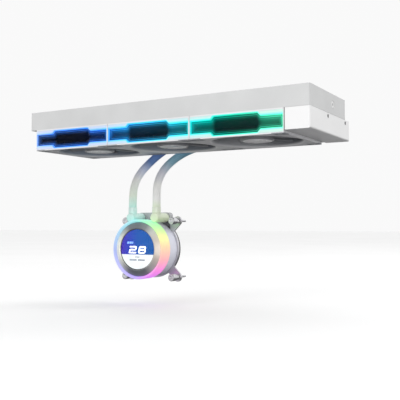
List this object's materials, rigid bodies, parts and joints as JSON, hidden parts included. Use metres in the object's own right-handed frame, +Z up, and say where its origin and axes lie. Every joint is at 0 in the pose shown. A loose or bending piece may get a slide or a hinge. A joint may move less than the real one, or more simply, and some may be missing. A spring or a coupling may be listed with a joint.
{
  "type": "liquid cooling radiator",
  "caption": "Liquid cooler for a computer: flat radiator over lit fans, with two hoses to a round pump head that has a display and a light ring.",
  "frame": {"origin": "centre of the case screw pattern on the radiator's top face", "axes": "+X along the radiator towards the end block, +Y towards the hose side, +Z up out of the top face"},
  "size_m": [0.4, 0.145, 0.2305],
  "materials": {
    "radiator_white": "satin powder coat",
    "core_aluminium": "lightly coated",
    "fin_aluminium": "thin folded sheet",
    "plug_steel": "satin",
    "cover_white": "fine matt texture",
    "screw_dark": "black oxide",
    "manifold_aluminium": "machined",
    "socket_plastic": "moulded",
    "collar_white": "satin",
    "guide_plastic": "moulded",
    "frame_white": "fine matt texture",
    "rotor_white": "semi gloss",
    "magnet_dark": "sintered",
    "shaft_steel": "ground",
    "bearing_brass": "sintered",
    "winding_copper": "enamelled wire",
    "board_green": "solder mask",
    "window_diffuser": "translucent",
    "window_glass": "tinted mirror pane",
    "window_mirror": "silvered",
    "led_strip": "potted strip",
    "pad_rubber": "matt",
    "fan_screw_steel": "zinc plated",
    "link_plastic": "moulded",
    "hose_sleeve": "braided sleeve over rubber",
    "display_glass": "polished",
    "display_panel": "lit picture",
    "bezel_metal": "dark polished bevel",
    "ring_diffuser": "translucent",
    "pump_white": "satin",
    "housing_grey": "moulded",
    "impeller_plastic": "moulded",
    "divider_steel": "stamped",
    "seal_rubber": "smooth",
    "plate_copper": "machined copper",
    "bracket_steel": "stamped",
    "elbow_white": "moulded",
    "thumb_screw_steel": "turned",
    "spring_steel": "drawn wire"
  },
  "bodies": {
    "cooler": {"back_side_rail": "radiator_white", "cold_plate": "plate_copper", "cold_plate_screws": "screw_dark", "cold_plate_seal": "seal_rubber", "control_board": "board_green", "core_fins": "fin_aluminium", "core_tubes": "core_aluminium", "display_bezel": "bezel_metal", "display_glass": "display_glass", "display_panel": "display_panel", "divider_plate": "divider_steel", "end_cover": "cover_white", "end_cover_screws": "screw_dark", "fan_1_frame": "frame_white", "fan_2_frame": "frame_white", "fan_3_frame": "frame_white", "fan_bearings": "bearing_brass", "fan_cable_socket": "socket_plastic", "fan_circuit_boards": "board_green", "fan_pads": "pad_rubber", "fan_screws": "fan_screw_steel", "fan_stators": "winding_copper", "fill_plug": "plug_steel", "front_side_rail": "radiator_white", "hose_collars": "collar_white", "hose_guide": "guide_plastic", "hose_manifold": "manifold_aluminium", "impeller_shaft": "shaft_steel", "led_strips": "led_strip", "left_end_tank": "radiator_white", "left_hose": "hose_sleeve", "light_frames": "window_diffuser", "light_ring": "ring_diffuser", "link_connectors": "link_plastic", "mirror_backs": "window_mirror", "mirror_panes": "window_glass", "mounting_bracket": "bracket_steel", "pump_cable_socket": "socket_plastic", "pump_housing": "housing_grey", "pump_shell": "pump_white", "pump_stator": "winding_copper", "right_end_tank": "radiator_white", "right_hose": "hose_sleeve", "screw_springs": "spring_steel"},
    "fan_1_spinner": {"fan_1_rotor": "rotor_white", "fan_1_magnet": "magnet_dark", "fan_1_shaft": "shaft_steel"},
    "fan_2_spinner": {"fan_2_rotor": "rotor_white", "fan_2_magnet": "magnet_dark", "fan_2_shaft": "shaft_steel"},
    "fan_3_spinner": {"fan_3_rotor": "rotor_white", "fan_3_magnet": "magnet_dark", "fan_3_shaft": "shaft_steel"},
    "pump_impeller": {"impeller": "impeller_plastic"},
    "left_swivel": {"left_elbow": "elbow_white"},
    "right_swivel": {"right_elbow": "elbow_white"},
    "press_screw_1": {"thumb_screw_1": "thumb_screw_steel"},
    "press_screw_2": {"thumb_screw_2": "thumb_screw_steel"},
    "press_screw_3": {"thumb_screw_3": "thumb_screw_steel"},
    "press_screw_4": {"thumb_screw_4": "thumb_screw_steel"}
  },
  "joints": [
    {"name": "fan_1_spin", "type": "hinge", "parent": "cooler", "child": "fan_1_spinner", "pos_m": [-0.12, 0, -0.041], "axis": [0, 0, 1], "continuous": true},
    {"name": "fan_2_spin", "type": "hinge", "parent": "cooler", "child": "fan_2_spinner", "pos_m": [0, 0, -0.041], "axis": [0, 0, 1], "continuous": true},
    {"name": "fan_3_spin", "type": "hinge", "parent": "cooler", "child": "fan_3_spinner", "pos_m": [0.12, 0, -0.041], "axis": [0, 0, 1], "continuous": true},
    {"name": "impeller_spin", "type": "hinge", "parent": "cooler", "child": "pump_impeller", "pos_m": [-0.071, 0.063, -0.185], "axis": [0, 1, 0], "continuous": true},
    {"name": "left_elbow_swivel", "type": "hinge", "parent": "cooler", "child": "left_swivel", "pos_m": [-0.091, 0.05, -0.1415], "axis": [0, 1, 0], "range_deg": [-20, 20], "deforming": ["left_hose"]},
    {"name": "right_elbow_swivel", "type": "hinge", "parent": "cooler", "child": "right_swivel", "pos_m": [-0.051, 0.05, -0.1415], "axis": [0, 1, 0], "range_deg": [-20, 20], "deforming": ["right_hose"]},
    {"name": "thumb_screw_1_press", "type": "slide", "parent": "cooler", "child": "press_screw_1", "axis": [0, 1, 0], "range_m": [0, 0.0035], "stiffness_N_per_m": 1500, "deforming": ["screw_springs"]},
    {"name": "thumb_screw_2_press", "type": "slide", "parent": "cooler", "child": "press_screw_2", "axis": [0, 1, 0], "range_m": [0, 0.0035], "stiffness_N_per_m": 1500, "deforming": ["screw_springs"]},
    {"name": "thumb_screw_3_press", "type": "slide", "parent": "cooler", "child": "press_screw_3", "axis": [0, 1, 0], "range_m": [0, 0.0035], "stiffness_N_per_m": 1500, "deforming": ["screw_springs"]},
    {"name": "thumb_screw_4_press", "type": "slide", "parent": "cooler", "child": "press_screw_4", "axis": [0, 1, 0], "range_m": [0, 0.0035], "stiffness_N_per_m": 1500, "deforming": ["screw_springs"]}
  ]
}
